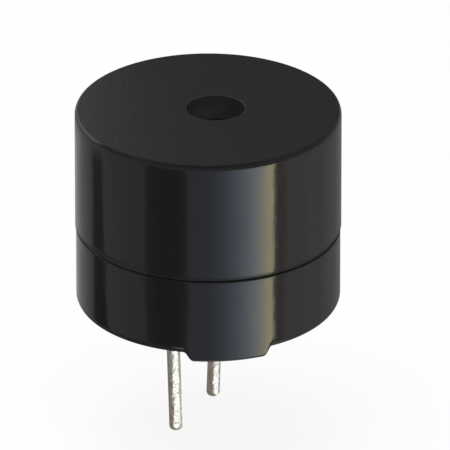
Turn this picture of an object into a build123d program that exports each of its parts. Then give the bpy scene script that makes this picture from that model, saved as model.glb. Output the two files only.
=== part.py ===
from build123d import *
import os
from math import cos, radians, sin

os.makedirs("parts", exist_ok=True)

# Millimetres. The origin is on the case axis at the board plane, where the three feet stand.
# +Z points out through the sound port, +X runs along the pin row towards the positive pin.

# Upper case: a moulded cap with a sound port
cap_diameter = 12.0
cap_height = 5.61
cap_top_wall = 1.4
cap_chamber_wall = 1.15
cap_skirt_wall = 0.55
cap_top_edge_radius = 0.17
port_diameter = 2.63
port_x = 0.25
port_y = -0.27
port_edge_break = 0.04

# Lower case: a moulded ring that stands on three feet
base_setback = 0.04
base_height = 3.72
base_wall = 0.76
base_rim_radius = 0.39
seam_gap = 0.1
seam_edge_break = 0.06
foot_count = 3
foot_height = 0.32
foot_width = 3.45
foot_end_run = 0.27
foot_edge_break = 0.08
first_foot_angle = 204.6

# Spigot of the lower case, which the skirt of the upper case slides over
spigot_height = 0.86
spigot_wall = 0.8
spigot_clearance = 0.05
spigot_lead_in = 0.15
crush_rib_count = 3
crush_rib_width = 0.4
crush_rib_clearance = 0.01
first_crush_rib_angle = 24.6
case_key_angle = 180.0
case_key_width = 1.2
case_key_depth = 0.2
case_key_clearance = 0.05

# Sounding stack, clamped between the two cases
rear_gasket_thickness = 0.1
diaphragm_thickness = 0.1
front_gasket_thickness = 0.1
diaphragm_clearance = 0.15
piezo_thickness = 0.1
bare_brass_width = 1.0
electrode_margin = 0.25
electrode_thickness = 0.02
feedback_width = 1.3
feedback_gap = 0.2
feedback_reach = 0.4

# Circuit board, under its ledge in the lower case, and the resin that seals it
resin_recess = 0.3
resin_depth = 1.28
resin_creep_height = 0.12
resin_creep_width = 0.4
board_thickness = 0.6
board_clearance = 0.05
board_key_angle = 264.6
board_key_width = 0.8
board_key_depth = 0.4
board_key_length = 1.2
board_key_clearance = 0.06
pad_thickness = 0.035

# Terminal pins
pin_diameter = 0.6
pin_edge_distance = 2.2
pin_row_y = 0.6
pin_above_board = 0.45
positive_pin_length = 6.5
negative_pin_length = 4.55
positive_pin_lean = 1.9
negative_pin_lean = 1.7
pin_lean_direction = -74.6
pin_bend_radius = 4.0
pin_bend_height = 0.25
pin_tip_radius = 0.2
pin_hole_clearance = 0.05
pin_pad_diameter = 1.4
pin_solder_diameter = 1.2
pin_solder_neck = 0.05
pin_solder_height = 0.35

# Transistor in a small moulded package
transistor_x = 0.0
transistor_y = 1.0
transistor_length = 2.9
transistor_width = 1.3
transistor_height = 0.95
transistor_standoff = 0.06
transistor_draft = 7.0
transistor_lead_pitch = 0.95
transistor_lead_width = 0.4
transistor_lead_thickness = 0.12
transistor_lead_reach = 0.25
transistor_lead_foot = 0.3
transistor_lead_level = 0.5
transistor_pad_length = 0.6
transistor_pad_width = 0.6

# Chip resistors
resistor_length = 1.6
resistor_width = 0.8
resistor_height = 0.45
resistor_terminal_length = 0.3
resistor_plating = 0.03
resistor_pad_length = 0.5
resistor_pad_width = 0.9
base_resistor_x = -2.35
base_resistor_y = -0.95
collector_resistor_x = 2.35
collector_resistor_y = -0.95
feedback_resistor_x = 0.0
feedback_resistor_y = -1.45

# Spring contacts, stamped from thin strip, between the board and the sounding disc
contact_thickness = 0.08
contact_width = 0.5
contact_bend_radius = 0.16
contact_foot = 0.5
contact_head = 0.5
contact_length = 2.2
contact_wall_gap = 0.35
contact_pad_length = 0.6
contact_pad_width = 0.7
contact_solder = 0.1
main_contact_angle = 225.0
feedback_contact_angle = 270.0
ground_contact_angle = 90.0
ground_contact_offset = 1.3
ground_contact_inset = 0.65

# Radii that follow
cap_radius = cap_diameter / 2
skirt_bore_radius = cap_radius - cap_skirt_wall
chamber_radius = cap_radius - cap_chamber_wall
port_radius = port_diameter / 2
base_radius = cap_radius - base_setback
bore_radius = base_radius - base_wall
spigot_radius = skirt_bore_radius - spigot_clearance
cavity_radius = spigot_radius - spigot_wall
diaphragm_radius = skirt_bore_radius - diaphragm_clearance
board_radius = bore_radius - board_clearance
piezo_radius = cavity_radius - bare_brass_width
electrode_radius = piezo_radius - electrode_margin
pin_radius = pin_diameter / 2

# Levels that follow, from the board plane up
rim_z = foot_height
shoulder_z = rim_z + base_height
spigot_top_z = shoulder_z + spigot_height
diaphragm_z = spigot_top_z + rear_gasket_thickness
front_gasket_z = diaphragm_z + diaphragm_thickness
cap_shoulder_z = front_gasket_z + front_gasket_thickness
skirt_bottom_z = shoulder_z + seam_gap
cap_top_z = skirt_bottom_z + cap_height
chamber_top_z = cap_top_z - cap_top_wall
piezo_z = diaphragm_z - piezo_thickness
electrode_z = piezo_z - electrode_thickness
resin_z = rim_z + resin_recess
board_bottom_z = resin_z + resin_depth
board_top_z = board_bottom_z + board_thickness
pad_top_z = board_top_z + pad_thickness
positive_pin_x = cap_radius - pin_edge_distance
negative_pin_x = pin_edge_distance - cap_radius


def section(points, rounds=(), bevels=()):
    """Half-section in the XZ plane, with some of its corners made round or bevelled."""
    face = make_face(Polyline(*points, close=True))
    for x, z, radius in rounds:
        face = fillet(face.vertices().sort_by_distance((x, z))[0], radius)
    for x, z, size in bevels:
        face = chamfer(face.vertices().sort_by_distance((x, z))[0], size)
    return Plane.XZ * face


def turned(points, rounds=(), bevels=()):
    """Solid of revolution about the case axis."""
    return revolve(section(points, rounds, bevels), Axis.Z)


def ring(inner_radius, outer_radius, bottom, top):
    """Flat ring about the case axis."""
    return turned([(inner_radius, bottom), (outer_radius, bottom), (outer_radius, top), (inner_radius, top)])


def disc(radius, bottom, top, x=0.0, y=0.0):
    """Upright round disc with its centre at x, y."""
    return Pos(x, y, bottom) * extrude(Circle(radius), top - bottom)


def block(length, width, bottom, top, x=0.0, y=0.0):
    """Upright rectangular block with its centre at x, y."""
    return Pos(x, y, bottom) * extrude(Rectangle(length, width), top - bottom)


def sector(points):
    """Quarter of a solid of revolution, centred on the +X side."""
    return Rot(0, 0, -45) * revolve(section(points), Axis.Z, 90)


def radial_key(angle, width, inner_radius, outer_radius, bottom, top):
    """Straight-sided key that fills a ring over its width, at an angle about the case axis."""
    quarter = sector(
        [(inner_radius, bottom), (outer_radius, bottom), (outer_radius, top), (inner_radius, top)]
    )
    slab = block(cap_diameter, width, bottom, top, x=cap_radius)
    return Rot(0, 0, angle) * (quarter & slab)


def foot_gaps():
    """Openings under the rim, all round the case apart from the feet and their sloped ends."""
    toe, root = foot_width / 2 - foot_end_run, foot_width / 2 + foot_end_run
    outline = make_face(
        Polyline((-toe, -foot_height), (toe, -foot_height), (root, rim_z), (-root, rim_z), close=True)
    )
    foot = extrude(Plane.YZ * outline, cap_diameter)
    gaps = ring(bore_radius - base_wall, base_radius + base_wall, -foot_height, rim_z)
    for i in range(foot_count):
        gaps -= Rot(0, 0, first_foot_angle + 360 / foot_count * i) * foot
    return gaps


def crush_ribs():
    """Three-cornered ribs on the spigot, whose tips grip the bore of the skirt."""
    tip = skirt_bore_radius - crush_rib_clearance
    side = spigot_radius - spigot_clearance
    root = spigot_radius - spigot_wall / 2
    half = crush_rib_width / 2
    outline = make_face(
        Polyline((root, -half), (side, -half), (tip, 0), (side, half), (root, half), close=True)
    )
    rib = Pos(0, 0, shoulder_z) * extrude(outline, spigot_height - spigot_lead_in)
    spacing = 360 / crush_rib_count
    return [Rot(0, 0, first_crush_rib_angle + spacing * i) * rib for i in range(crush_rib_count)]


def upper_case():
    """Cap with the front chamber, the clamping shoulder, the skirt, its keyway and the sound port."""
    cap = turned(
        [
            (0, cap_top_z), (cap_radius, cap_top_z), (cap_radius, skirt_bottom_z),
            (skirt_bore_radius, skirt_bottom_z), (skirt_bore_radius, cap_shoulder_z),
            (chamber_radius, cap_shoulder_z), (chamber_radius, chamber_top_z), (0, chamber_top_z),
        ],
        rounds=[(cap_radius, cap_top_z, cap_top_edge_radius)],
        bevels=[(cap_radius, skirt_bottom_z, seam_edge_break)],
    )
    keyway = radial_key(
        case_key_angle, case_key_width + 2 * case_key_clearance, spigot_radius,
        spigot_radius + case_key_depth + case_key_clearance, skirt_bottom_z, cap_shoulder_z,
    )
    port = turned(
        [
            (0, chamber_top_z), (port_radius, chamber_top_z), (port_radius, cap_top_z - port_edge_break),
            (port_radius + port_edge_break, cap_top_z), (0, cap_top_z),
        ]
    )
    return cap - keyway - Pos(port_x, port_y, 0) * port


def lower_case():
    """Ring with the spigot, the board ledge, the feet, the crush ribs and both keys."""
    tube = turned(
        [
            (bore_radius, 0), (base_radius, 0), (base_radius, shoulder_z),
            (spigot_radius, shoulder_z), (spigot_radius, spigot_top_z - spigot_lead_in),
            (spigot_radius - spigot_lead_in, spigot_top_z), (cavity_radius, spigot_top_z),
            (cavity_radius, board_top_z), (bore_radius, board_top_z),
        ],
        bevels=[(base_radius, 0, foot_edge_break), (base_radius, shoulder_z, seam_edge_break)],
    )
    shell = tube - foot_gaps()
    rim = shell.edges().filter_by(GeomType.CIRCLE).filter_by_position(Axis.Z, rim_z, rim_z)
    shell = fillet([edge for edge in rim if edge.radius > bore_radius + base_wall / 2], base_rim_radius)
    case_key = radial_key(
        case_key_angle, case_key_width, spigot_radius - spigot_lead_in,
        spigot_radius + case_key_depth, shoulder_z, spigot_top_z - spigot_lead_in,
    )
    for piece in crush_ribs() + [case_key, board_key()]:
        shell += piece
    return shell


def board_key(clearance=0.0):
    """Rib under the ledge in the lower bore that turns the board the right way round."""
    return radial_key(
        board_key_angle, board_key_width + 2 * clearance, bore_radius - board_key_depth - clearance,
        bore_radius, board_top_z - board_key_length, board_top_z,
    )


def main_electrode():
    """Fired silver over the ceramic, with a slot left round the feedback electrode."""
    slot = feedback_outline(feedback_width / 2 + feedback_gap, electrode_radius + feedback_gap)
    return extrude(Pos(0, 0, electrode_z) * (Circle(electrode_radius) - slot), electrode_thickness)


def feedback_electrode():
    """Silver tongue from the edge of the ceramic almost to its centre."""
    tongue = feedback_outline(feedback_width / 2, electrode_radius) & Circle(electrode_radius)
    return extrude(Pos(0, 0, electrode_z) * tongue, electrode_thickness)


def feedback_outline(half_width, far):
    """Round-ended tongue that points at the centre from the -Y side."""
    near = feedback_reach + feedback_width / 2
    shank = Pos(0, -(near + far) / 2) * Rectangle(2 * half_width, far - near)
    return shank + Pos(0, -near) * Circle(half_width)


def circuit_board():
    """Round board with a notch for its key and two pin holes."""
    board = disc(board_radius, board_bottom_z, board_top_z) - board_key(board_key_clearance)
    for x in (positive_pin_x, negative_pin_x):
        board -= disc(pin_radius + pin_hole_clearance, board_bottom_z, board_top_z, x=x, y=pin_row_y)
    return board


def pin(x, length, lean):
    """Round pin, upright in the board and resin, with a slight bend below and a rounded tip."""
    out = Vector(
        sin(radians(lean)) * cos(radians(pin_lean_direction)),
        sin(radians(lean)) * sin(radians(pin_lean_direction)),
        -cos(radians(lean)),
    )
    if x > 0:
        out = Vector(-out.X, -out.Y, out.Z)
    head = Vector(x, pin_row_y, board_top_z + pin_above_board)
    bend = Vector(x, pin_row_y, pin_bend_height)
    tip = bend + out * ((length + pin_bend_height) / -out.Z)
    path = FilletPolyline(head, bend, tip, radius=pin_bend_radius)
    wire = sweep(Plane(origin=head, z_dir=(0, 0, -1)) * Circle(pin_radius), path)
    end = wire.edges().filter_by(GeomType.CIRCLE).sort_by(Axis.Z)[0]
    return fillet(end, pin_tip_radius)


def pin_solder():
    """Tapered joints round the heads of the pins."""
    top = pad_top_z + pin_solder_height
    joints = []
    for x in (positive_pin_x, negative_pin_x):
        cone = turned(
            [
                (pin_radius, pad_top_z), (pin_solder_diameter / 2, pad_top_z),
                (pin_radius + pin_solder_neck, top), (pin_radius, top),
            ]
        )
        joints.append(Pos(x, pin_row_y, 0) * cone)
    return joints


def sealing_resin(pins):
    """Cast plug between the board and the rim, crept down the wall round its open face."""
    plug = turned(
        [
            (0, resin_z), (bore_radius - resin_creep_width, resin_z),
            (bore_radius, resin_z - resin_creep_height), (bore_radius, board_bottom_z), (0, board_bottom_z),
        ]
    )
    plug -= board_key()
    for wire in pins:
        plug -= wire
    return plug


def transistor_body():
    """Moulded body with drafted sides above and below its parting line."""
    outline = Rectangle(transistor_length, transistor_width)
    half = transistor_height / 2
    upper = extrude(outline, half, taper=transistor_draft)
    lower = mirror(upper, Plane.XY)
    middle_z = pad_top_z + transistor_standoff + half
    return Pos(transistor_x, transistor_y, middle_z) * (upper + lower)


def transistor_lead(x, side):
    """Gull-wing lead from the side of the body down to its pad."""
    level, thickness = transistor_lead_level, transistor_lead_thickness
    root = transistor_width / 2 - transistor_lead_thickness
    bend = transistor_width / 2 + transistor_lead_reach
    toe = bend + transistor_lead_foot
    profile = make_face(
        Polyline(
            (root, level), (bend - thickness, level), (bend - thickness, 0), (toe, 0),
            (toe, thickness), (bend, thickness), (bend, level + thickness), (root, level + thickness),
            close=True,
        )
    )
    strip = extrude(Plane.YZ * profile, transistor_lead_width / 2, both=True)
    strip = strip if side > 0 else mirror(strip, Plane.XZ)
    return Pos(transistor_x + x, transistor_y, pad_top_z) * strip - transistor_body()


def transistor_leads():
    """Two leads on one side and one on the other."""
    pitch = transistor_lead_pitch
    return [transistor_lead(-pitch, -1), transistor_lead(pitch, -1), transistor_lead(0, 1)]


def resistor_places():
    """Centre and turn of each chip resistor, by name."""
    return {
        "base_resistor": (base_resistor_x, base_resistor_y, 90),
        "collector_resistor": (collector_resistor_x, collector_resistor_y, 90),
        "feedback_resistor": (feedback_resistor_x, feedback_resistor_y, 0),
    }


def resistor_chip():
    """Alumina chip, a plating thickness inside the ends of its terminals."""
    return block(
        resistor_length - 2 * resistor_plating, resistor_width,
        resistor_plating, resistor_height - resistor_plating,
    )


def resistor_terminals():
    """Plated ends that wrap over and under each chip."""
    offset = (resistor_length - resistor_terminal_length) / 2
    ends = []
    for x, y, turn in resistor_places().values():
        for side in (-1, 1):
            end = block(resistor_terminal_length, resistor_width, 0, resistor_height, x=side * offset)
            ends.append(Pos(x, y, pad_top_z) * Rot(0, 0, turn) * (end - resistor_chip()))
    return ends


def contact_places():
    """Place of each contact's foot, heading along its strip, and the level that its head presses on."""
    foot = Pos(cavity_radius - contact_wall_gap, 0, 0) * Rot(0, 0, 180)
    ground_foot = Pos(cavity_radius - ground_contact_inset, ground_contact_offset, 0) * Rot(0, 0, -90)
    return {
        "ground_contact": (Rot(0, 0, ground_contact_angle) * ground_foot, diaphragm_z),
        "main_contact": (Rot(0, 0, main_contact_angle) * foot, electrode_z),
        "feedback_contact": (Rot(0, 0, feedback_contact_angle) * foot, electrode_z),
    }


def contact(level):
    """Bent strip: a flat foot on its pad, a sloped riser and a flat head against the disc."""
    low, high = pad_top_z + contact_thickness / 2, level - contact_thickness / 2
    path = FilletPolyline(
        (0, low), (contact_foot, low), (contact_length - contact_head, high), (contact_length, high),
        radius=contact_bend_radius,
    )
    strip = trace(path, contact_thickness)
    return extrude(Plane.XZ * strip, contact_width / 2, both=True)


def contact_joint():
    """Solder drawn up against the outer end of a contact's foot."""
    toe, top = (-contact_solder, pad_top_z), (0, pad_top_z + contact_thickness)
    corner = make_face(Polyline((0, pad_top_z), toe, top, close=True))
    return extrude(Plane.XZ * corner, contact_width / 2, both=True)


def board_pads():
    """Copper lands for the pins, the transistor, the resistors and the contacts."""
    pads = []
    hole = disc(pin_radius + pin_hole_clearance, board_top_z, pad_top_z)
    octagon = Pos(0, 0, board_top_z) * extrude(RegularPolygon(pin_pad_diameter / 2, 8), pad_thickness)
    for x in (positive_pin_x, negative_pin_x):
        pads.append(Pos(x, pin_row_y, 0) * (octagon - hole))
    reach = (transistor_width + transistor_lead_foot) / 2 + transistor_lead_reach
    for x, side in ((-transistor_lead_pitch, -1), (transistor_lead_pitch, -1), (0, 1)):
        pads.append(
            block(
                transistor_pad_width, transistor_pad_length, board_top_z, pad_top_z,
                x=transistor_x + x, y=transistor_y + side * reach,
            )
        )
    offset = (resistor_length - resistor_terminal_length) / 2
    for x, y, turn in resistor_places().values():
        for side in (-1, 1):
            land = block(resistor_pad_length, resistor_pad_width, 0, pad_thickness, x=side * offset)
            pads.append(Pos(x, y, board_top_z) * Rot(0, 0, turn) * land)
    middle = (contact_foot - contact_solder) / 2
    land = block(contact_pad_length, contact_pad_width, board_top_z, pad_top_z, x=middle)
    pads += [place * land for place, level in contact_places().values()]
    return pads


def build():
    """All pieces by name."""
    positive = pin(positive_pin_x, positive_pin_length, positive_pin_lean)
    negative = pin(negative_pin_x, negative_pin_length, negative_pin_lean)
    pieces = {
        "upper_case": upper_case(),
        "lower_case": lower_case(),
        "rear_gasket": ring(cavity_radius, diaphragm_radius, spigot_top_z, diaphragm_z),
        "diaphragm_plate": disc(diaphragm_radius, diaphragm_z, front_gasket_z),
        "front_gasket": ring(chamber_radius, diaphragm_radius, front_gasket_z, cap_shoulder_z),
        "piezo_disc": disc(piezo_radius, piezo_z, diaphragm_z),
        "main_electrode": main_electrode(),
        "feedback_electrode": feedback_electrode(),
        "circuit_board": circuit_board(),
        "board_pads": board_pads(),
        "positive_pin": positive,
        "negative_pin": negative,
        "pin_solder": pin_solder(),
        "sealing_resin": sealing_resin([positive, negative]),
        "transistor_body": transistor_body(),
        "transistor_leads": transistor_leads(),
        "resistor_terminals": resistor_terminals(),
    }
    for name, (x, y, turn) in resistor_places().items():
        pieces[name] = Pos(x, y, pad_top_z) * Rot(0, 0, turn) * resistor_chip()
    for name, (place, level) in contact_places().items():
        pieces[name] = place * contact(level)
    pieces["contact_solder"] = [place * contact_joint() for place, level in contact_places().values()]
    return pieces


for node, shape in build().items():
    solid = Compound(children=shape) if isinstance(shape, list) else shape
    export_step(solid, f"parts/{node}.step")
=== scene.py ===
# %% [markdown]
# # A piezo buzzer, dressed for its portrait
#
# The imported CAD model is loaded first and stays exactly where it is. Everything that is made below
# is a finer surface over one of its pieces, or a material for one of them. The scene works in
# metres, as Blender does, but the sizes are written in millimetres, as the maker of such a part
# thinks of them.

import bpy
import numpy as np
from mathutils import Matrix, Vector


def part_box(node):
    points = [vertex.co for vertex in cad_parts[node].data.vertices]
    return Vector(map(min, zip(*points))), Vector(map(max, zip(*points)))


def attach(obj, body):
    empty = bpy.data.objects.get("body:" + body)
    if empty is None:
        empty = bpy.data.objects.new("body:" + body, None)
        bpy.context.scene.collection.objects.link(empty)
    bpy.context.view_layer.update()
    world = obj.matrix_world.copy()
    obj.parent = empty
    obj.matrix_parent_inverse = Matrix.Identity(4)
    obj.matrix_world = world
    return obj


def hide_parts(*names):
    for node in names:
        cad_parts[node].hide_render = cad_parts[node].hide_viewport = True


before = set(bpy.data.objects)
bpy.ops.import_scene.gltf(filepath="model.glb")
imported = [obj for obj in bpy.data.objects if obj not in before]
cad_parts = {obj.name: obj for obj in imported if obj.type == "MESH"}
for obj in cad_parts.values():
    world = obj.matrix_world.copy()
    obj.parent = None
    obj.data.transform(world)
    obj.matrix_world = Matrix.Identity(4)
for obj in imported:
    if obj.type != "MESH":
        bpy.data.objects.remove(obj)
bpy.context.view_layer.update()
MM = 0.001

# %% [markdown]
# ## The sizes that the surfaces share
#
# A surface that stands for a CAD piece has to end where that piece ends. The outer limits are read
# from the boxes of the CAD nodes, and only what a box can't show is repeated from the CAD source.

# %% Read the main sizes
cap_low, cap_high = (np.array(c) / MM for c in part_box("upper_case"))
base_low, base_high = (np.array(c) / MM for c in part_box("lower_case"))
cap_radius = (cap_high[0] - cap_low[0]) / 2
cap_top = cap_high[2]
skirt_bottom = cap_low[2]
base_radius = (base_high[0] - base_low[0]) / 2
spigot_top = base_high[2]
print(f"cap radius {cap_radius:.3f}, top {cap_top:.3f}, skirt bottom {skirt_bottom:.3f} mm")
print(f"base radius {base_radius:.3f}, spigot top {spigot_top:.3f} mm")

# %% [markdown]
# ## The camera
#
# The view was found by fitting a camera to the outlines of the cap, the seam and the port. It looks
# down at 25.9 degrees from far away with a long lens, as a catalogue picture is taken, so the
# verticals stay upright and the near and far rims are nearly the same width.

# %% Place the camera
azimuth, elevation = np.radians(-74.6), np.radians(25.94)
distance, lens, sensor = 690.0, 1225.8, 36.0
aim_height, aim_right, aim_down = 5.02, 0.758, 0.951
near_clip, far_clip = 10.0, 20000.0
right = np.array([np.cos(azimuth), np.sin(azimuth), 0.0])
away = np.array([-np.sin(azimuth), np.cos(azimuth), 0.0])
up = away * np.sin(elevation) + np.array([0.0, 0.0, np.cos(elevation)])
forward = away * np.cos(elevation) - np.array([0.0, 0.0, np.sin(elevation)])
aim = np.array([0.0, 0.0, aim_height]) + right * aim_right - up * aim_down
camera = bpy.data.objects.new("camera", bpy.data.cameras.new("camera"))
bpy.context.scene.collection.objects.link(camera)
camera.matrix_world = Matrix.Translation(Vector((aim - forward * distance) * MM)) @ Matrix(
    [list(row) for row in np.column_stack([right, up, -forward])]
).to_4x4()
camera.data.lens = lens
camera.data.sensor_width = sensor
camera.data.clip_start, camera.data.clip_end = near_clip * MM, far_clip * MM
bpy.context.scene.camera = camera
bpy.context.scene.view_settings.view_transform = "Standard"
print("camera", [round(c, 4) for c in camera.location], "lens", lens)

# %% [markdown]
# ## From arrays to a mesh
#
# Nearly every piece of this part is turned or drawn along a line, so its surface is a grid of
# points: one direction goes round, the other follows the profile. One helper turns such a grid
# into quads. The columns always close into a ring. The rows close too where the profile is a loop,
# as in a shell with an inside, and where it isn't, as on a pin, each end gets one face of its own.

# %% Build a mesh from a grid
scene = bpy.context.scene


def new_piece(name, points, faces, smooth=True):
    """Object at the origin from an array of points in millimetres and a list or array of faces."""
    mesh = bpy.data.meshes.new(name)
    mesh.from_pydata((points * MM).tolist(), [], [list(map(int, f)) for f in faces])
    mesh.polygons.foreach_set("use_smooth", np.full(len(mesh.polygons), smooth))
    mesh.update()
    piece = bpy.data.objects.new(name, mesh)
    scene.collection.objects.link(piece)
    return piece


def grid_faces(rows, columns, wrap_rows=False):
    """Corner (i, j) joins to (i, j + 1), (i + 1, j + 1) and (i + 1, j); columns always wrap."""
    i = np.arange(rows if wrap_rows else rows - 1)[:, None]
    j = np.arange(columns)[None, :]
    below, beside = (i + 1) % rows, (j + 1) % columns
    quads = [i * columns + j, i * columns + beside, below * columns + beside, below * columns + j]
    return np.stack([q.ravel() for q in np.broadcast_arrays(*quads)], axis=1)


def smooth_step(x, low, high):
    """0 below low, 1 above high, and 3t^2 - 2t^3 between them."""
    t = np.clip((x - low) / (high - low), 0.0, 1.0)
    return t * t * (3.0 - 2.0 * t)


def arc(start, end, steps):
    """Angles from start to end in degrees, as radians."""
    return np.radians(np.linspace(start, end, steps))


print("grid of 3 x 8 has", len(grid_faces(3, 8)), "faces")

# %% [markdown]
# ## The cap
#
# The real cap is one moulding: a wide satin top with an off-centre sound port, a crisp small
# radius, a glossy straight side and a skirt. A lathe profile alone can't have a hole off its axis,
# so the top face is worked out as a blend. Each point slides in a straight line from the port's
# circle to the rim's circle, and the ceiling of the chamber slides back, so cap and port are one
# closed skin.
#
# The seam in the picture isn't quite even: it dips, opens at its right end, is tight on the left,
# and has a fine mould line above it there. Each of these is a function of the angle round the case.
# The attribute `edge` tells the material where the skin is rubbed dull.

# %% Shape the cap
port_radius, port_x, port_y, port_break = 1.315, 0.25, -0.27, 0.04
edge_radius, edge_drop, cap_break, cap_inset = 0.17, 0.26, 0.03, 0.03
skirt_bore, shoulder_level, chamber, ceiling = 5.45, 5.2, 4.85, 8.35
keyway_reach, keyway_half, keyway_angle = 5.65, 0.65, 180.0
seam_fall, seam_tilt, skirt_gap, open_right, tight_left = 0.07, 0.05, 0.005, 0.06, 0.022
line_rise, line_depth, line_width = 0.22, 0.03, 0.035
fine_zone, fine_step = 0.34, 0.02
# Rows this near to a corner keep it crisp under smooth shading.
crease, fine_crease = 0.02, 0.01
# The columns of the piece that is being made: the functions below read them.
columns = 512
turn = np.linspace(0.0, 2.0 * np.pi, columns, endpoint=False)


def ring_row(radius, level, x=0.0, y=0.0):
    """One row: x + r cos a, y + r sin a, z. Radius and level may vary with the angle a."""
    radius, level = np.broadcast_to(radius, turn.shape), np.broadcast_to(level, turn.shape)
    return np.stack([x + radius * np.cos(turn), y + radius * np.sin(turn), level], axis=1)


def blend_rows(first, last, shares):
    """Rows between two rings: first (1 - s) + last s, for each share s."""
    return [first * (1.0 - s) + last * s for s in shares]


def from_line(centre):
    """Angle of each column from a centre line given in degrees, in radians from -pi to pi."""
    return np.angle(np.exp(1j * (turn - np.radians(centre))))


def from_front():
    """Angle round the case in degrees: 0 faces the camera's place, 90 is the right of its picture."""
    return np.degrees(from_line(np.degrees(azimuth) - 90.0))


def stretch(start, full, fade, end):
    """1 from full to fade, and 0 outside start and end, in degrees from the front."""
    return smooth_step(from_front(), start, full) * smooth_step(from_front(), end, fade)


def left_stretch():
    """1 on the left of the case's front, where the seam is tight, and 0 elsewhere."""
    return stretch(0.0, -24.0, -54.0, -68.0)


def seam_dip():
    """Fall of the seam: a constant and a share of the place across the picture, from -1 to 1."""
    return -seam_fall - seam_tilt * np.cos(turn - azimuth)


def seam_open():
    """Extra opening of the seam: wider towards the right and tight on the left."""
    return open_right * stretch(50.0, 74.0, 110.0, 125.0) - tight_left * left_stretch()


def parting_line(level, middle):
    """Depth of the fine mould line above the seam, left only: d exp(-((z - middle) / w)^2)."""
    line = np.exp(-(((level - middle) / line_width) ** 2))
    return line_depth * stretch(-28.0, -40.0, -58.0, -70.0) * line


def cap_surface():
    """Rows up the port, over the top, down the side, round the skirt and back along the ceiling."""
    port = dict(x=port_x, y=port_y)
    rows = [ring_row(port_radius, z, **port) for z in np.linspace(ceiling, cap_top - port_break, 6)]
    for a in arc(15, 90, 5):
        out, rise = port_break * (1.0 - np.cos(a)), port_break * np.sin(a)
        rows.append(ring_row(port_radius + out, cap_top - port_break + rise, **port))
    inner = ring_row(port_radius + port_break + crease, cap_top, **port)
    outer = ring_row(cap_radius - edge_radius - crease, cap_top)
    rows += blend_rows(inner, outer, np.linspace(0.0, 1.0, 14))
    for a in arc(0, 90, 13):
        out, drop = edge_radius * np.sin(a), edge_drop * (1.0 - np.cos(a))
        rows.append(ring_row(cap_radius - edge_radius + out, cap_top - drop))
    low = skirt_bottom + skirt_gap + seam_dip() + seam_open()
    side_low = low + cap_break
    side = ring_row(cap_radius, cap_top - edge_drop - crease), ring_row(cap_radius, side_low + fine_zone)
    rows += blend_rows(*side, np.linspace(0.0, 1.0, 24))
    for rise in np.arange(fine_zone - 2.0 * fine_step, 1.5 * fine_step, -fine_step):
        level = side_low + rise
        rows.append(ring_row(cap_radius - parting_line(level, low + line_rise), level))
    for a in arc(15, 90, 6):
        inset, drop = cap_inset * (1.0 - np.cos(a)), cap_break * np.sin(a)
        rows.append(ring_row(cap_radius - inset, side_low - drop))
    in_keyway = np.abs(from_line(keyway_angle)) * keyway_reach < keyway_half
    bore = np.where(in_keyway, keyway_reach, skirt_bore)
    corners = [
        (cap_radius - cap_inset - crease, low), (bore + crease, low), (bore, low + crease),
        (bore, shoulder_level - fine_crease), (bore - fine_crease, shoulder_level),
        (chamber + fine_crease, shoulder_level), (chamber, shoulder_level + fine_crease),
        (chamber, ceiling - crease),
    ]
    rows += [ring_row(radius, level) for radius, level in corners]
    wall, mouth = ring_row(chamber - crease, ceiling), ring_row(port_radius + crease, ceiling, **port)
    rows += blend_rows(wall, mouth, np.linspace(0.0, 1.0, 4))
    return np.stack(rows), low


def mark_edge(piece, share):
    """Stores how dull each point is, from 0 to 1, as the attribute `edge`."""
    mark = piece.data.attributes.new("edge", "FLOAT", "POINT")
    mark.data.foreach_set("value", share.ravel())


rows, cap_edge = cap_surface()
faces = grid_faces(len(rows), columns, wrap_rows=True)[:, ::-1]
cap = new_piece("cap_shell", rows.reshape(-1, 3), faces)
over_edge = smooth_step(rows[:, :, 2] - cap_edge, 0.20, 0.05)
mark_edge(cap, over_edge * (1.0 - 0.7 * left_stretch()))
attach(cap, "root")
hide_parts("upper_case")
print("cap:", len(rows), "rows,", len(cap.data.polygons), "faces")

# %% [markdown]
# ## The base
#
# Under the seam the case goes on as a second moulding that stands on three feet. Its lower edge has
# a large soft radius, which tightens to a small one where a foot runs straight down. Both the level
# of the edge and its radius are functions of the angle round the case, so the feet grow out of the
# same skin as the wall and share its highlights. The upper edge follows the cap's dip. Inside are
# the key for the board's notch, the ledge, and the spigot with its crush ribs and key.
#
# Here the attribute `edge` marks a band under the seam and the lower radius, and most of all the
# part of that radius beside the foot in view.

# %% Shape the base
rim, base_shoulder, foot_radius, rim_round = 0.32, 4.04, 0.12, 0.39
seam_break, seam_depth, shoulder_rise = 0.08, 0.10, 0.055
bore, ledge, cavity = 5.2, 2.5, 4.6
board_key, board_key_half, board_key_low = 0.4, 0.4, 1.3
spigot, rib_tip, rib_half, lead_in = 5.4, 5.44, 0.2, 0.15
spigot_key, spigot_key_half = 0.2, 0.6
foot_half, foot_run, first_foot = 1.62, 0.44, 204.6
board_key_angle, first_rib = first_foot + 60.0, first_foot - 180.0
columns = 900
turn = np.linspace(0.0, 2.0 * np.pi, columns, endpoint=False)


def beside(centre, radius):
    """Distance of each column from a centre line, and infinite where it faces another way."""
    angle = from_line(centre)
    return np.where(np.cos(angle) > 0.7, np.abs(radius * np.sin(angle)), np.inf)


def beside_three(first, radius):
    """The same from the nearest of three centre lines, a third of a turn apart."""
    return np.min([beside(first + 120.0 * i, radius) for i in range(3)], axis=0)


def foot_share():
    """1 on a foot, 0 beside it, and a straight slope with softened ends between."""
    across = beside_three(first_foot, base_radius)
    slope = np.clip((foot_half + foot_run - across) / foot_run, 0.0, 1.0)
    return 0.35 * slope + 0.65 * smooth_step(slope, 0.0, 1.0)


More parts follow.
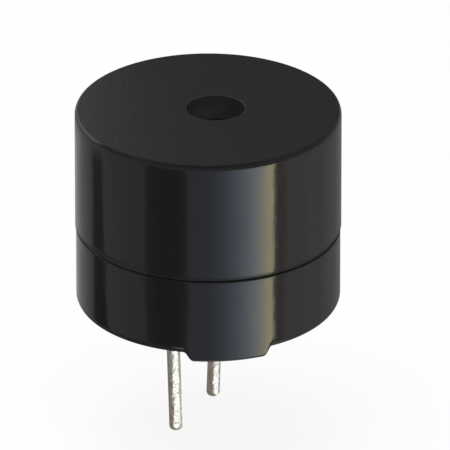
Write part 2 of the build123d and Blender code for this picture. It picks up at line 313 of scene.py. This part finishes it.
def base_surface():
    """Rows from the seam down the wall, round the lower edge, up the bore and over the spigot."""
    foot = foot_share()
    low = rim * (1.0 - foot)
    rounding = rim_round + (foot_radius - rim_round) * smooth_step(foot, 0.0, 0.9)
    wall_low = low + rounding
    high = base_shoulder + shoulder_rise + seam_dip()
    rows = []
    for a in arc(0, 90, 7):
        inset, drop = seam_depth * (1.0 - np.sin(a)), seam_break * (1.0 - np.cos(a))
        rows.append(ring_row(base_radius - inset, high - drop))
    rows.append(ring_row(base_radius, high - seam_break - 2.0 * crease))
    wall = ring_row(base_radius, high - seam_break - 5.0 * crease), ring_row(base_radius, wall_low)
    rows += blend_rows(*wall, np.linspace(0.0, 1.0, 18))
    for a in arc(8, 90, 11):
        inset, drop = rounding * (1.0 - np.cos(a)), rounding * np.sin(a)
        rows.append(ring_row(base_radius - inset, wall_low - drop))
    keyed = bore - np.where(beside(board_key_angle, bore) < board_key_half, board_key, 0.0)
    ribs = (rib_tip - spigot) * np.clip(1.0 - beside_three(first_rib, spigot) / rib_half, 0.0, 1.0)
    key = np.where(beside(keyway_angle, spigot) < spigot_key_half, spigot_key, 0.0)
    side = spigot + np.maximum(ribs, key)
    corners = [
        (bore + 3.0 * fine_crease, low), (bore, low + 3.0 * fine_crease), (bore, board_key_low),
        (keyed, board_key_low + fine_crease), (keyed, ledge - fine_crease), (keyed - fine_crease, ledge),
        (cavity + fine_crease, ledge), (cavity, ledge + fine_crease), (cavity, spigot_top - fine_crease),
        (cavity + fine_crease, spigot_top), (spigot - lead_in, spigot_top),
        (side, spigot_top - lead_in), (side, high + fine_crease), (side + fine_crease, high),
        (base_radius - seam_depth - fine_crease, high),
    ]
    rows += [ring_row(radius, level) for radius, level in corners]
    return np.stack(rows), high, wall_low, rounding


rows, base_edge, wall_low, rounding = base_surface()
faces = grid_faces(len(rows), columns, wrap_rows=True)[:, ::-1]
base = new_piece("base_shell", rows.reshape(-1, 3), faces)
level = rows[:, :, 2]
under_edge = smooth_step(base_edge - level, 0.13, 0.04) * (level < base_edge + 0.003)
under_edge = under_edge * (1.0 - 0.5 * left_stretch())
beside_foot = stretch(-42.0, -30.0, -10.0, -4.0)
lower_round = smooth_step((wall_low - level) / rounding, 0.03, 0.40) * (0.8 + 0.45 * beside_foot)
mark_edge(base, np.maximum(under_edge, lower_round))
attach(base, "root")
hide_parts("lower_case")
print("base:", len(rows), "rows,", len(base.data.polygons), "faces")

# %% [markdown]
# ## The pins
#
# Each terminal is a piece of tinned wire, cut off and slightly bent in handling. It is drawn as a
# circle carried along a centre line: straight through the resin, one gentle bend, and straight
# again. The end is rounded, because the tin that the wire is dipped in draws up round the cut.

# %% Draw the pins
pin_radius, tip_radius, pin_row, pin_reach = 0.3, 0.2, 0.6, 3.8
bend_level, bend_radius, end_radius, pin_columns = 0.25, 4.0, 0.001, 48


def pin_surface(x, length, lean, heading):
    """Circle of radius r(s) square to the centre line at s; r falls as a quarter circle at the tip."""
    tilt = np.radians(lean)
    out = np.array([np.sin(tilt) * np.cos(heading), np.sin(tilt) * np.sin(heading), -np.cos(tilt)])
    head = np.array([x, pin_row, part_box("positive_pin")[1][2] / MM])
    bend = np.array([x, pin_row, bend_level])
    reach = bend_radius * np.tan(tilt / 2.0)
    bend_in, bend_out = bend + [0.0, 0.0, reach], bend + out * reach
    last = bend + out * ((length + bend_level) / np.cos(tilt) - tip_radius)
    upper = head + (bend_in - head) * np.linspace(0.0, 1.0, 10)[:, None]
    t = np.linspace(0.1, 0.9, 6)[:, None]
    curve = bend_in * (1.0 - t) ** 2 + 2.0 * bend * t * (1.0 - t) + bend_out * t**2
    lower = bend_out + (last - bend_out) * np.linspace(0.0, 1.0, 40)[:, None]
    tip = arc(10, 90, 9)
    line = np.concatenate([upper, curve, lower, last + out * tip_radius * np.sin(tip)[:, None]])
    radii = np.full(len(line), pin_radius)
    radii[-len(tip):] -= tip_radius * (1.0 - np.cos(tip))
    ahead = np.gradient(line, axis=0)
    line, ahead = (np.vstack([array[:1], array, array[-1:]]) for array in (line, ahead))
    radii = np.concatenate([[end_radius], radii, [end_radius]])
    ahead /= np.linalg.norm(ahead, axis=1)[:, None]
    u = np.cross(ahead, [0.0, 1.0, 0.0])
    u /= np.linalg.norm(u, axis=1)[:, None]
    v = np.cross(ahead, u)
    ring = np.linspace(0.0, 2.0 * np.pi, pin_columns, endpoint=False)
    spokes = u[:, None] * np.cos(ring)[None, :, None] + v[:, None] * np.sin(ring)[None, :, None]
    return line[:, None] + spokes * radii[:, None, None]


def make_pin(name, node, x, length, lean, heading):
    """The pin as a piece that stands for its CAD node, with one face over each of its ends."""
    rows = pin_surface(x, length, lean, heading)
    faces = grid_faces(len(rows), pin_columns).tolist()
    faces.append(list(range(pin_columns))[::-1])
    faces.append(list(range((len(rows) - 1) * pin_columns, len(rows) * pin_columns)))
    piece = new_piece(name, rows.reshape(-1, 3), faces)
    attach(piece, "root")
    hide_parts(node)
    return piece


leftward, rightward = azimuth + np.pi, azimuth
positive = make_pin("positive_wire", "positive_pin", pin_reach, length=6.5, lean=1.9, heading=leftward)
negative = make_pin("negative_wire", "negative_pin", -pin_reach, length=4.55, lean=1.7, heading=rightward)
print("pins:", len(positive.data.polygons), "faces each")

# %% [markdown]
# ## Shader maths that reads like maths
#
# A material is a graph of nodes, but a formula is easier to read than a graph. `Wire` wraps one
# output socket and turns + - * and ** into Math nodes. `Graph` holds the nodes of a material or a
# world while they are joined up, and its one `node` method adds any other node. `Finish` is a graph
# for a material, with short words for what the finishes below need.


# %% The helper classes
def arithmetic(operation, a, b, clamp=False):
    """A Math node on two values, of which at least one is a wire."""
    tree = (a if isinstance(a, Wire) else b).tree
    node = tree.nodes.new("ShaderNodeMath")
    node.operation = operation
    node.use_clamp = clamp
    plug(tree, node.inputs[0], a)
    plug(tree, node.inputs[1], b)
    return Wire(tree, node.outputs[0])


class Wire:
    """One value on its way through a material."""

    def __init__(self, tree, socket):
        self.tree = tree
        self.socket = socket

    def __add__(self, other):
        return arithmetic("ADD", self, other)

    def __sub__(self, other):
        return arithmetic("SUBTRACT", self, other)

    def __mul__(self, other):
        return arithmetic("MULTIPLY", self, other)

    def __pow__(self, other):
        return arithmetic("POWER", self, other)

    def __radd__(self, other):
        return arithmetic("ADD", other, self)

    def __rsub__(self, other):
        return arithmetic("SUBTRACT", other, self)

    def __rmul__(self, other):
        return arithmetic("MULTIPLY", other, self)

    def step(self, low, high):
        """0 below low, 1 above high, straight between; low may be the larger."""
        return arithmetic("MULTIPLY", self - low, 1.0 / (high - low), clamp=True)


def plug(tree, slot, value):
    """Links a wire to a socket, or sets the socket to a plain value."""
    if isinstance(value, Wire):
        tree.links.new(value.socket, slot)
    else:
        slot.default_value = value


class Graph:
    """The nodes of a material or a world while they are joined up."""

    def __init__(self, owner):
        owner.use_nodes = True
        self.owner, self.tree = owner, owner.node_tree
        self.tree.nodes.clear()

    def node(self, kind, settings=None, sockets=None, output=0):
        """Adds a node: its settings first, then its sockets."""
        node = self.tree.nodes.new(kind)
        for key, value in (settings or {}).items():
            setattr(node, key, value)
        for key, value in (sockets or {}).items():
            plug(self.tree, node.inputs[key], value)
        return Wire(self.tree, node.outputs[output])

    def end(self, shader, kind="ShaderNodeOutputMaterial"):
        """Joins the last shader to the output and gives back the material or the world."""
        output = self.tree.nodes.new(kind)
        self.tree.links.new(shader.socket, output.inputs["Surface"])
        return self.owner


class Finish(Graph):
    """A material while it is made, with the place on the piece in millimetres."""

    def __init__(self, name):
        super().__init__(bpy.data.materials.new(name))
        self.place = self.node("ShaderNodeVectorMath", {"operation": "SCALE"}, {
            0: self.node("ShaderNodeTexCoord", output="Object"), "Scale": 1.0 / MM,
        })

    def part(self, axis):
        """One coordinate of the place: 0, 1 or 2."""
        return self.node("ShaderNodeSeparateXYZ", sockets={0: self.place}, output=axis)

    def noise(self, scale, stretch=(1.0, 1.0, 1.0), detail=3.0, roughness=0.5):
        """Soft random pattern from 0 to 1, with about `scale` lumps to the millimetre."""
        place = self.node("ShaderNodeMapping", sockets={0: self.place, "Scale": stretch})
        return self.node("ShaderNodeTexNoise", sockets={
            "Vector": place, "Scale": scale, "Detail": detail, "Roughness": roughness,
        })

    def mix(self, share, first, second):
        """Colour that goes from first to second."""
        return self.node("ShaderNodeMix", {"data_type": "RGBA"}, {
            0: share, 6: first if isinstance(first, Wire) else (*first, 1.0),
            7: second if isinstance(second, Wire) else (*second, 1.0),
        }, output=2)

    def bump(self, height, distance, strength=1.0, under=None):
        """Surface relief: a height from 0 to 1 times a distance in millimetres."""
        sockets = {"Height": height, "Distance": distance * MM, "Strength": strength}
        if under is not None:
            sockets["Normal"] = under
        return self.node("ShaderNodeBump", sockets=sockets)

    def shader(self, **sockets):
        """One Principled shader. Names use _ for a space."""
        named = {key.replace("_", " "): value for key, value in sockets.items()}
        return self.node("ShaderNodeBsdfPrincipled", sockets=named)

    def surface(self, **sockets):
        """A material of one Principled shader."""
        return self.end(self.shader(**sockets))


def dress(piece, material):
    """Gives a piece one material, whatever slots it had."""
    if not piece.data.materials:
        piece.data.materials.append(material)
    for i in range(len(piece.data.materials)):
        piece.data.materials[i] = material


print("helpers ready")

# %% [markdown]
# ## Black moulded plastic
#
# The case is one black plastic with two finishes from its mould. The side came from a polished
# cavity and mirrors the studio, the top from an etched one and is satin, with a fine grain. Black
# plastic is never quite even, so the polish wavers slightly, and faint streaks run along the draw
# of the mould. Where the attribute `edge` says that it was rubbed, a matt shader is mixed in. The
# port's wall is painted lighter than the rest, more so with depth, as the picture shows it: this is
# painted light, which lifts the shade inside the bore.


# %% Mix the case plastic
painted_light_reach, painted_light_fade = 0.045, 0.03
skin_dark, skin_light = (0.0058, 0.0058, 0.0062), (0.0125, 0.0122, 0.0128)
# Painted light: the port's wall gets a lighter colour than the skin, lighter still with depth, in place
# of the shade in the bore.
port_mouth_painted_light, port_deep_painted_light = (0.031, 0.031, 0.030), (0.060, 0.060, 0.056)
refraction, no_satin = 1.5, 99.0


def case_plastic(name, satin_level):
    """Polished below a level, satin above it, painted light on the port's wall, and dull where it was
    rubbed.
    """
    f = Finish(name)
    satin = f.part(2).step(satin_level - 0.03, satin_level)
    cloud = f.noise(0.55, detail=4.0)
    streak = f.noise(2.2, stretch=(1.0, 1.0, 0.06), detail=2.0)
    grain = f.noise(10.0, detail=3.0, roughness=0.6)
    x, y = f.part(0) - port_x, f.part(1) - port_y
    painted_light_edge = port_radius + painted_light_reach
    painted_light_in_port = ((x * x + y * y) ** 0.5).step(painted_light_edge, painted_light_edge - painted_light_fade)
    painted_light_depth = f.part(2).step(cap_top - 0.25, ceiling + 0.1)
    skin_colour = f.mix(cloud * 0.5 + grain * 0.5, skin_dark, skin_light)
    # Painted light: the port's wall is coloured lighter, more so with depth, to lift the shade in the
    # bore.
    colour = f.mix(painted_light_in_port, skin_colour, f.mix(painted_light_depth, port_mouth_painted_light, port_deep_painted_light))
    rough = 0.085 + cloud * 0.05 + streak * 0.02 + satin * (0.28 + grain * 0.10)
    wave = f.bump(f.noise(0.5, detail=1.5), 0.020)
    skin = f.bump(f.noise(6.0, stretch=(1.0, 1.0, 0.5), detail=3.0), 0.0030, under=wave)
    relief = f.bump(grain, 0.026, strength=satin, under=skin)
    both = dict(Base_Color=colour, Normal=relief, IOR=refraction)
    polished = f.shader(Roughness=rough, **both)
    matt = f.shader(Roughness=0.6, Specular_IOR_Level=0.2, **both)
    rubbed = f.node("ShaderNodeAttribute", {"attribute_name": "edge"}, output=2)
    return f.end(f.node("ShaderNodeMixShader", sockets={0: rubbed * 0.8, 1: polished, 2: matt}))


dress(cap, case_plastic("case_plastic_cap", cap_top - 0.01))
dress(base, case_plastic("case_plastic_base", no_satin))
print("case plastic on", cap.name, "and", base.name)

# %% [markdown]
# ## Tinned wire
#
# Dipped tin is bright but not polished. It freezes in soft lumps with a slight orange peel, dulls
# in streaks and has small dark specks, which break up the edge between what the wire mirrors as
# light and as dark.


# %% Tin the pins
def tinned_wire(name):
    """Bright metal with a frozen skin, streaks of tarnish and dull specks."""
    f = Finish(name)
    lump = f.noise(3.4, stretch=(1.0, 1.0, 0.8), detail=2.0)
    peel = f.noise(7.0, stretch=(1.0, 1.0, 0.6), detail=4.0, roughness=0.65)
    speck = f.noise(8.0, stretch=(1.0, 1.0, 0.7), detail=3.0, roughness=0.7).step(0.58, 0.70)
    tarnish = f.noise(4.5, stretch=(1.0, 1.0, 0.45), detail=3.0, roughness=0.6).step(0.46, 0.62)
    bright = f.mix(tarnish, (0.96, 0.95, 0.90), (0.78, 0.76, 0.70))
    frozen = f.bump(lump, 0.055, under=f.bump(speck, 0.010))
    return f.surface(
        Base_Color=f.mix(speck, bright, (0.48, 0.46, 0.41)), Metallic=1.0,
        Roughness=0.15 + speck * 0.2 + peel * 0.06, Normal=f.bump(peel, 0.022, under=frozen),
    )


tin = tinned_wire("tin")
dress(positive, tin)
dress(negative, tin)
print("tin on both pins")

# %% [markdown]
# ## The pieces inside
#
# Nobody sees them in a picture of the closed part, but the model can be opened, so each keeps its
# CAD shape and gets the finish of what it is made of. The brass of the diaphragm is the exception:
# it is coloured much darker than brass, as painted shade, so that it stays dim through the port.


# %% Finish the inner pieces
def speckled(name, first, second, scale, metallic=0.0, rough=0.5, relief=0.004, stretch=(1, 1, 1)):
    """Two shades in a soft pattern, with roughness and relief that follow it."""
    f = Finish(name)
    pattern = f.noise(scale, stretch=stretch, detail=4.0, roughness=0.6)
    return f.surface(
        Base_Color=f.mix(pattern.step(0.3, 0.7), first, second), Metallic=metallic,
        Roughness=rough - 0.1 + pattern * 0.2, Normal=f.bump(pattern, relief),
    )


def brushed_disc(name, first, second, rough):
    """Metal sheet with the circular marks of its blanking and polishing."""
    f = Finish(name)
    x, y = f.part(0), f.part(1)
    radius = (x * x + y * y) ** 0.5
    along = f.node("ShaderNodeCombineXYZ", sockets={0: radius * 9.0})
    rings = f.node("ShaderNodeTexNoise", sockets={"Vector": along, "Scale": 1.0, "Detail": 3.0})
    return f.surface(
        Base_Color=f.mix(rings, first, second), Metallic=1.0, Roughness=rough + rings * 0.12,
        Normal=f.bump(rings, 0.003),
    )


inner = {
    # Painted shade: the brass colours are far darker than brass, so the diaphragm stays dim through the
    # port.
    "diaphragm_plate": brushed_disc("brass", (0.30, 0.20, 0.085), (0.44, 0.31, 0.14), 0.34),
    "piezo_disc": speckled("ceramic_disc", (0.62, 0.58, 0.47), (0.74, 0.71, 0.60), 9.0, rough=0.6),
    "main_electrode": speckled("silver", (0.68, 0.67, 0.64), (0.86, 0.86, 0.84), 8.0, 1.0, 0.42),
    "rear_gasket": speckled("gasket", (0.09, 0.09, 0.09), (0.15, 0.15, 0.15), 12.0, rough=0.75),
    "circuit_board": speckled("laminate", (0.48, 0.36, 0.16), (0.60, 0.47, 0.23), 14.0, rough=0.45),
    "board_pads": speckled("copper", (0.72, 0.34, 0.20), (0.88, 0.48, 0.32), 7.0, 1.0, 0.35),
    "pin_solder": speckled("solder", (0.55, 0.55, 0.54), (0.78, 0.78, 0.77), 5.0, 1.0, 0.28, 0.012),
    "sealing_resin": speckled(
        "resin", (0.010, 0.010, 0.009), (0.022, 0.021, 0.019), 1.5, rough=0.3, relief=0.03),
    "transistor_body": speckled(
        "moulding", (0.010, 0.010, 0.011), (0.028, 0.028, 0.030), 16.0, rough=0.6),
    "base_resistor": speckled("chip", (0.66, 0.66, 0.64), (0.82, 0.82, 0.80), 10.0, rough=0.55),
    "main_contact": speckled(
        "bronze", (0.58, 0.36, 0.20), (0.78, 0.54, 0.34), 6.0, 1.0, 0.3, stretch=(1, 1, 6)),
}
same = {
    "feedback_electrode": "main_electrode", "front_gasket": "rear_gasket",
    "contact_solder": "pin_solder", "collector_resistor": "base_resistor",
    "feedback_resistor": "base_resistor", "ground_contact": "main_contact",
    "feedback_contact": "main_contact",
}
inner.update({node: inner[like] for node, like in same.items()})
inner["transistor_leads"] = inner["resistor_terminals"] = tin
for node, material in inner.items():
    dress(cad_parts[node], material)
print("inner pieces finished:", len(inner))

# %% [markdown]
# ## The studio
#
# Glossy black shows almost nothing of itself: what the camera sees on the case is the studio. In
# the picture a warm panel ends in a sharp upright edge right of the middle, a black flag darkens a
# band left of it, and a second dark strip stands near the left silhouette. The side leans back from
# the camera by the elevation, so what it mirrors lies on the table in front. These cards are
# therefore fans on the table whose edges follow mirrored rays, which makes their reflections
# upright. Four flat sheets under the part and in front of it give the pins a light and a dark side,
# and a card that stands behind lightens the left of the top. All but that card lie a few hundredths
# of a millimetre over the table.


# %% Lay the cards
table_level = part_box("positive_pin")[0][2] / MM - 0.02
fan_rise = 0.05
white = (1.0, 1.0, 1.0)


def glowing(name, points, faces, strengths, tint):
    """Studio card from points given across, towards the camera and up, with a glow at each point."""
    placed = points[:, :1] * right - points[:, 1:2] * away + points[:, 2:] * np.array([0.0, 0.0, 1.0])
    piece = new_piece(name, placed, faces)
    glow = piece.data.attributes.new("glow", "FLOAT_VECTOR", "POINT")
    glow.data.foreach_set("vector", (np.reshape(strengths, (-1, 1)) * np.array(tint)).ravel())
    f = Finish(name)
    colour = f.node("ShaderNodeAttribute", {"attribute_name": "glow"}, output=0)
    light = f.node("ShaderNodeEmission", sockets={"Color": colour, "Strength": 1.0})
    piece.data.materials.append(f.end(light))
    piece.visible_camera = False
    piece.visible_shadow = False
    piece.visible_diffuse = False


def fan(name, angles, strengths, tint=white, near_end=11.0, far_end=60.0):
    """Fan on the table: from wall point R(sin a, cos a) along (sin 2a, cos 2a), for a in degrees.

    Each angle and strength is one number, or a pair for the near and the far end.
    """
    count = len(angles)
    angles, strengths = (
        np.broadcast_to(np.reshape(each, (count, -1)), (count, 2)) for each in (angles, strengths)
    )
    a, s = np.radians(angles), np.array([near_end, far_end])
    across = cap_radius * np.sin(a) + s * np.sin(2.0 * a)
    toward = cap_radius * np.cos(a) + s * np.cos(2.0 * a)
    points = np.stack([across, toward, np.full_like(across, table_level + fan_rise)], axis=2)
    quads = 2 * np.arange(count - 1)[:, None] + [0, 1, 3, 2]
    tints = np.repeat(np.broadcast_to(tint, (count, 3)), 2, axis=0)
    glowing(name, points.reshape(-1, 3), quads, strengths, tints)


def sheet(name, corners, rise, strengths, tint=white):
    """Flat card a little over the table, from corners given across and towards the camera."""
    count = len(corners)
    points = np.column_stack([np.array(corners), np.full(count, table_level + rise)])
    glowing(name, points, [list(range(count))], np.broadcast_to(strengths, count), tint)


angles = np.linspace(-9.0, 29.5, 32)
share = np.clip((angles + 3.5) / 33.0, 0.0, 1.0)
warmth = smooth_step(share, 0.55, 1.0)[:, None]
cool, warm = np.array([0.86, 0.97, 1.17]), np.array([1.12, 1.02, 0.66])
fan("warm_panel", angles, 0.42 + 4.7 * share**2.2, cool * (1.0 - warmth) + warm * warmth)
fan("black_flag", [-28.0, -22.0, -14.0, -9.0], [0.12, 0.06, 0.07, 0.16])
strip_left, strip_right = [-59.1, -59.7], [-47.6, -52.6]
fan("dark_strip", [strip_left, strip_right], [[0.05, 0.08], [0.05, 0.08]], far_end=33.0)
fan("left_panel", [[-88.0, -88.0], [-75.0, -75.0], strip_left], [0.52, 0.44, 0.26], far_end=33.0)
soft_angles, soft_strengths = [29.5, 33.5, 36.0, 42.0, 56.0], [0.38, 0.38, 0.58, 0.52, 0.37]
fan("soft_panel", soft_angles, soft_strengths, (1.05, 1.0, 0.91))
fan("right_panel", [56.0, 70.0, 88.0], [0.36, 0.26, 0.20])
left_end, right_end, foot, head = (-30.0, -4.0), (-5.5, -15.0), 10.5, 24.0
back = np.array([(*left_end, foot), (*right_end, foot), (*right_end, head), (*left_end, head)])
glowing("back_card", back, [[0, 1, 2, 3]], [1.25, 0.65, 0.65, 1.25], white)
rear = [(0.43, -3.75), (4.2, -3.75), (4.2, -1.5), (3.0, 0.6), (-0.1, 0.6), (-0.1, 0.0)]
sheet("rear_panel", rear, 0.02, 1.1)
sheet("front_panel", [(-3.2, 6.8), (2.6, 6.8), (2.6, 15.0), (-7.2, 15.0)], 0.03, 1.38)
sheet("side_panel", [(2.4, 3.9), (11.0, 3.2), (9.0, 10.0), (2.4, 15.0)], 0.03, [1.3, 0.9, 0.9, 1.3])
under = [(0.43, -3.8), (-0.1, 0.0), (-3.3, 6.8), (-7.3, 15.0), (-15.0, 5.0), (-13.0, -6.0), (0.3, -11.0)]
sheet("pin_flag", under, 0.04, 0.17, (1.14, 1.0, 0.92))
print("cards on the table at", round(table_level, 3), "mm")

# %% [markdown]
# ## Table, world and lamps
#
# The table is pale and matt. The camera sees it nearly white, which comes from Light Path and not
# from more light, and it still takes the part's shadow. The sky is white to the camera too. To a
# mirror ray it is dark overhead and lighter low down and to both sides, which shades the satin top
# from edge to edge. A large soft lamp overhead and a weaker one at the camera's side give the plain
# light of a catalogue.


# %% Make the table, the world and the lamps
table_half, table_colour, table_white = 3000.0, (0.82, 0.82, 0.82, 1.0), 0.9
glint_colour, glint_strength = (1.0, 0.965, 0.89, 1.0), 0.36
sky_plain, sky_white, sky_dark, sky_dusk = 0.36, 1.0, 0.024, 0.18
opaque_white, lamp_aim = (1.0, 1.0, 1.0, 1.0), 4.0


def studio_table():
    """Square sheet with a matt finish that reads as white to the camera and dim to a mirror ray."""
    corners = np.array([[-1, -1], [1, -1], [1, 1], [-1, 1]]) * table_half
    points = np.column_stack([corners, np.full(4, table_level)])
    piece = new_piece("table", points, [[0, 1, 2, 3]], smooth=False)
    f = Finish("table")
    camera_ray = f.node("ShaderNodeLightPath", output="Is Camera Ray")
    glossy_ray = f.node("ShaderNodeLightPath", output="Is Glossy Ray")
    matt = f.node("ShaderNodeBsdfDiffuse", sockets={"Color": table_colour})
    glint = f.node("ShaderNodeEmission", sockets={"Color": glint_colour, "Strength": glint_strength})
    bright = f.node("ShaderNodeEmission", sockets={"Color": opaque_white, "Strength": 1.0})
    seen = f.node("ShaderNodeMixShader", sockets={0: camera_ray * table_white, 1: matt, 2: bright})
    mirrored = f.node("ShaderNodeMixShader", sockets={0: glossy_ray, 1: seen, 2: glint})
    below = f.node("ShaderNodeNewGeometry", output="Backfacing")
    clear = f.node("ShaderNodeBsdfTransparent")
    both = f.node("ShaderNodeMixShader", sockets={0: below, 1: mirrored, 2: clear})
    piece.data.materials.append(f.end(both))


def studio_world():
    """White to the camera, soft grey to a diffuse ray, and shaded from dark to dusk in a mirror."""
    graph = Graph(bpy.data.worlds.new("studio"))
    camera_ray = graph.node("ShaderNodeLightPath", output="Is Camera Ray")
    glossy_ray = graph.node("ShaderNodeLightPath", output="Is Glossy Ray")
    way = graph.node("ShaderNodeTexCoord", output="Generated")
    x, y, z = (graph.node("ShaderNodeSeparateXYZ", sockets={0: way}, output=i) for i in range(3))
    low_down = z.step(0.75, 0.5)
    across = x * right[0] + y * right[1]
    wings = (across * across).step(0.10, 0.42)
    dusk = low_down + wings - low_down * wings
    plain = sky_plain + camera_ray * (sky_white - sky_plain)
    mirrored = sky_dark + dusk * sky_dusk
    strength = (1.0 - glossy_ray) * plain + glossy_ray * mirrored
    sky = graph.node("ShaderNodeBackground", sockets={"Color": opaque_white, "Strength": strength})
    scene.world = graph.end(sky, "ShaderNodeOutputWorld")


def soft_lamp(name, place, size, power):
    """Square area lamp that looks at the part."""
    lamp = bpy.data.objects.new(name, bpy.data.lights.new(name, "AREA"))
    lamp.data.size = size * MM
    lamp.data.energy = power
    scene.collection.objects.link(lamp)
    start = Vector(place) * MM
    turn_to = (Vector((0.0, 0.0, lamp_aim * MM)) - start).to_track_quat("-Z", "Y")
    lamp.matrix_world = Matrix.Translation(start) @ turn_to.to_matrix().to_4x4()
    return lamp


studio_table()
studio_world()
overhead = soft_lamp("overhead", list(right * -60.0 - away * 40.0 + [0, 0, 420.0]), 300.0, 1.6)
fill = soft_lamp("fill", list(right * 250.0 - away * 330.0 + [0, 0, 260.0]), 200.0, 0.5)
fill.visible_glossy = overhead.visible_glossy = False
print("lamps:", overhead.data.energy, fill.data.energy)
